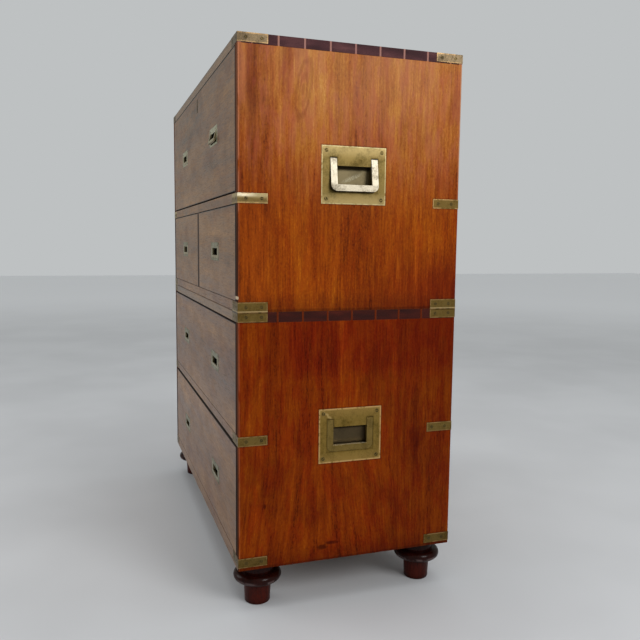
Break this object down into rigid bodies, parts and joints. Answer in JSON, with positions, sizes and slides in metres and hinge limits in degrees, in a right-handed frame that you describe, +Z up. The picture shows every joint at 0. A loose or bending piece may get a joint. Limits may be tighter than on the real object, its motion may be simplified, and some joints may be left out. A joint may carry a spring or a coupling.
{
  "type": "campaign chest of drawers",
  "caption": "Two-part wooden campaign chest on turned feet, with let-in brass straps and corners, flush brass handles, and sliding drawers.",
  "frame": {"origin": "on the floor, under the middle of the chest", "axes": "+X to the right of someone who faces the drawers, +Y to the back, +Z up; drawers open towards -Y"},
  "size_m": [0.9503, 0.4671, 1.1073],
  "materials": {
    "upper_case_wood": "french polished, satin",
    "lower_case_wood": "french polished, satin",
    "drawer_front_wood": "french polished, satin",
    "rail_wood": "french polished, satin",
    "drawer_lining_wood": "planed, bare",
    "inner_wood": "planed, bare",
    "peg_wood": "planed, bare",
    "foot_wood": "turned and polished, dark",
    "strap_brass": "aged, rubbed at the edges",
    "plate_brass": "aged, satin",
    "pull_plate_brass": "aged, satin",
    "handle_brass": "worn bright by handling",
    "pull_brass": "worn bright by handling",
    "lock_brass": "dull",
    "lock_steel": "filed steel"
  },
  "bodies": {
    "lower_section": {"lower_back_boards": "inner_wood", "lower_bottom_board": "lower_case_wood", "lower_left_handle_plate": "plate_brass", "lower_left_side": "lower_case_wood", "lower_rail": "rail_wood", "lower_right_handle_plate": "plate_brass", "lower_right_side": "lower_case_wood", "lower_runners_and_stops": "lower_case_wood", "lower_straps": "strap_brass", "lower_top_board": "lower_case_wood", "turned_feet": "foot_wood", "locating_pegs": "peg_wood"},
    "upper_section": {"upper_back_boards": "inner_wood", "upper_bottom_board": "upper_case_wood", "upper_drawer_divider": "rail_wood", "upper_left_handle_plate": "plate_brass", "upper_left_side": "upper_case_wood", "upper_rail": "rail_wood", "upper_right_handle_plate": "plate_brass", "upper_right_side": "upper_case_wood", "upper_runners_and_stops": "upper_case_wood", "upper_straps": "strap_brass", "upper_top_board": "upper_case_wood"},
    "lower_right_handle": {"lower_right_handle": "handle_brass"},
    "lower_left_handle": {"lower_left_handle": "handle_brass"},
    "upper_right_handle": {"upper_right_handle": "handle_brass"},
    "upper_left_handle": {"upper_left_handle": "handle_brass"},
    "bottom_drawer": {"bottom_drawer_bottom": "drawer_lining_wood", "bottom_drawer_box": "drawer_lining_wood", "bottom_drawer_front": "drawer_front_wood", "bottom_drawer_pull_plates": "pull_plate_brass"},
    "bottom_drawer_left_pull": {"bottom_drawer_left_pull": "pull_brass"},
    "bottom_drawer_right_pull": {"bottom_drawer_right_pull": "pull_brass"},
    "middle_drawer": {"middle_drawer_bottom": "drawer_lining_wood", "middle_drawer_box": "drawer_lining_wood", "middle_drawer_front": "drawer_front_wood", "middle_drawer_pull_plates": "pull_plate_brass"},
    "middle_drawer_left_pull": {"middle_drawer_left_pull": "pull_brass"},
    "middle_drawer_right_pull": {"middle_drawer_right_pull": "pull_brass"},
    "small_left_drawer": {"small_left_drawer_bottom": "drawer_lining_wood", "small_left_drawer_box": "drawer_lining_wood", "small_left_drawer_front": "drawer_front_wood", "small_left_drawer_pull_plates": "pull_plate_brass"},
    "small_left_drawer_pull": {"small_left_drawer_pull": "pull_brass"},
    "small_right_drawer": {"small_right_drawer_bottom": "drawer_lining_wood", "small_right_drawer_box": "drawer_lining_wood", "small_right_drawer_front": "drawer_front_wood", "small_right_drawer_pull_plates": "pull_plate_brass"},
    "small_right_drawer_pull": {"small_right_drawer_pull": "pull_brass"},
    "top_drawer": {"top_drawer_bottom": "drawer_lining_wood", "top_drawer_box": "drawer_lining_wood", "top_drawer_front": "drawer_front_wood", "top_drawer_pull_plates": "pull_plate_brass", "lock_case": "lock_brass", "key_escutcheon": "plate_brass"},
    "top_drawer_left_pull": {"top_drawer_left_pull": "pull_brass"},
    "top_drawer_right_pull": {"top_drawer_right_pull": "pull_brass"},
    "lock_bolt": {"lock_bolt": "lock_steel"}
  },
  "joints": [
    {"name": "upper_section_lift", "type": "slide", "parent": "lower_section", "child": "upper_section", "axis": [0, 0, 1], "range_m": [0, 0.15]},
    {"name": "lower_right_handle_swing", "type": "hinge", "parent": "lower_section", "child": "lower_right_handle", "pos_m": [0.4668, 0, 0.3755], "axis": [0, -1, 0], "range_deg": [0, 90]},
    {"name": "lower_left_handle_swing", "type": "hinge", "parent": "lower_section", "child": "lower_left_handle", "pos_m": [-0.4668, 0, 0.3755], "axis": [0, 1, 0], "range_deg": [0, 90]},
    {"name": "upper_right_handle_swing", "type": "hinge", "parent": "upper_section", "child": "upper_right_handle", "pos_m": [0.4668, 0, 0.89], "axis": [0, -1, 0], "range_deg": [-9, 81]},
    {"name": "upper_left_handle_swing", "type": "hinge", "parent": "upper_section", "child": "upper_left_handle", "pos_m": [-0.4668, 0, 0.89], "axis": [0, 1, 0], "range_deg": [0, 90]},
    {"name": "bottom_drawer_slide", "type": "slide", "parent": "lower_section", "child": "bottom_drawer", "axis": [0, -1, 0], "range_m": [0, 0.38]},
    {"name": "bottom_drawer_left_pull_swing", "type": "hinge", "parent": "bottom_drawer", "child": "bottom_drawer_left_pull", "pos_m": [-0.222, -0.22805, 0.22525], "axis": [-1, 0, 0], "range_deg": [0, 90]},
    {"name": "bottom_drawer_right_pull_swing", "type": "hinge", "parent": "bottom_drawer", "child": "bottom_drawer_right_pull", "pos_m": [0.222, -0.22805, 0.22525], "axis": [-1, 0, 0], "range_deg": [0, 90]},
    {"name": "middle_drawer_slide", "type": "slide", "parent": "lower_section", "child": "middle_drawer", "axis": [0, -1, 0], "range_m": [0, 0.38]},
    {"name": "middle_drawer_left_pull_swing", "type": "hinge", "parent": "middle_drawer", "child": "middle_drawer_left_pull", "pos_m": [-0.222, -0.22805, 0.47775], "axis": [-1, 0, 0], "range_deg": [0, 90]},
    {"name": "middle_drawer_right_pull_swing", "type": "hinge", "parent": "middle_drawer", "child": "middle_drawer_right_pull", "pos_m": [0.222, -0.22805, 0.47775], "axis": [-1, 0, 0], "range_deg": [0, 90]},
    {"name": "small_left_drawer_slide", "type": "slide", "parent": "upper_section", "child": "small_left_drawer", "axis": [0, -1, 0], "range_m": [0, 0.38]},
    {"name": "small_left_drawer_pull_swing", "type": "hinge", "parent": "small_left_drawer", "child": "small_left_drawer_pull", "pos_m": [-0.23, -0.22805, 0.72025], "axis": [-1, 0, 0], "range_deg": [0, 90]},
    {"name": "small_right_drawer_slide", "type": "slide", "parent": "upper_section", "child": "small_right_drawer", "axis": [0, -1, 0], "range_m": [0, 0.38]},
    {"name": "small_right_drawer_pull_swing", "type": "hinge", "parent": "small_right_drawer", "child": "small_right_drawer_pull", "pos_m": [0.23, -0.22805, 0.72025], "axis": [-1, 0, 0], "range_deg": [0, 90]},
    {"name": "top_drawer_slide", "type": "slide", "parent": "upper_section", "child": "top_drawer", "axis": [0, -1, 0], "range_m": [0, 0.38]},
    {"name": "top_drawer_left_pull_swing", "type": "hinge", "parent": "top_drawer", "child": "top_drawer_left_pull", "pos_m": [-0.222, -0.22805, 0.9665], "axis": [-1, 0, 0], "range_deg": [0, 90]},
    {"name": "top_drawer_right_pull_swing", "type": "hinge", "parent": "top_drawer", "child": "top_drawer_right_pull", "pos_m": [0.222, -0.22805, 0.9665], "axis": [-1, 0, 0], "range_deg": [-15, 75]},
    {"name": "lock_bolt_throw", "type": "slide", "parent": "top_drawer", "child": "lock_bolt", "axis": [0, 0, 1], "range_m": [0, 0.008]}
  ]
}
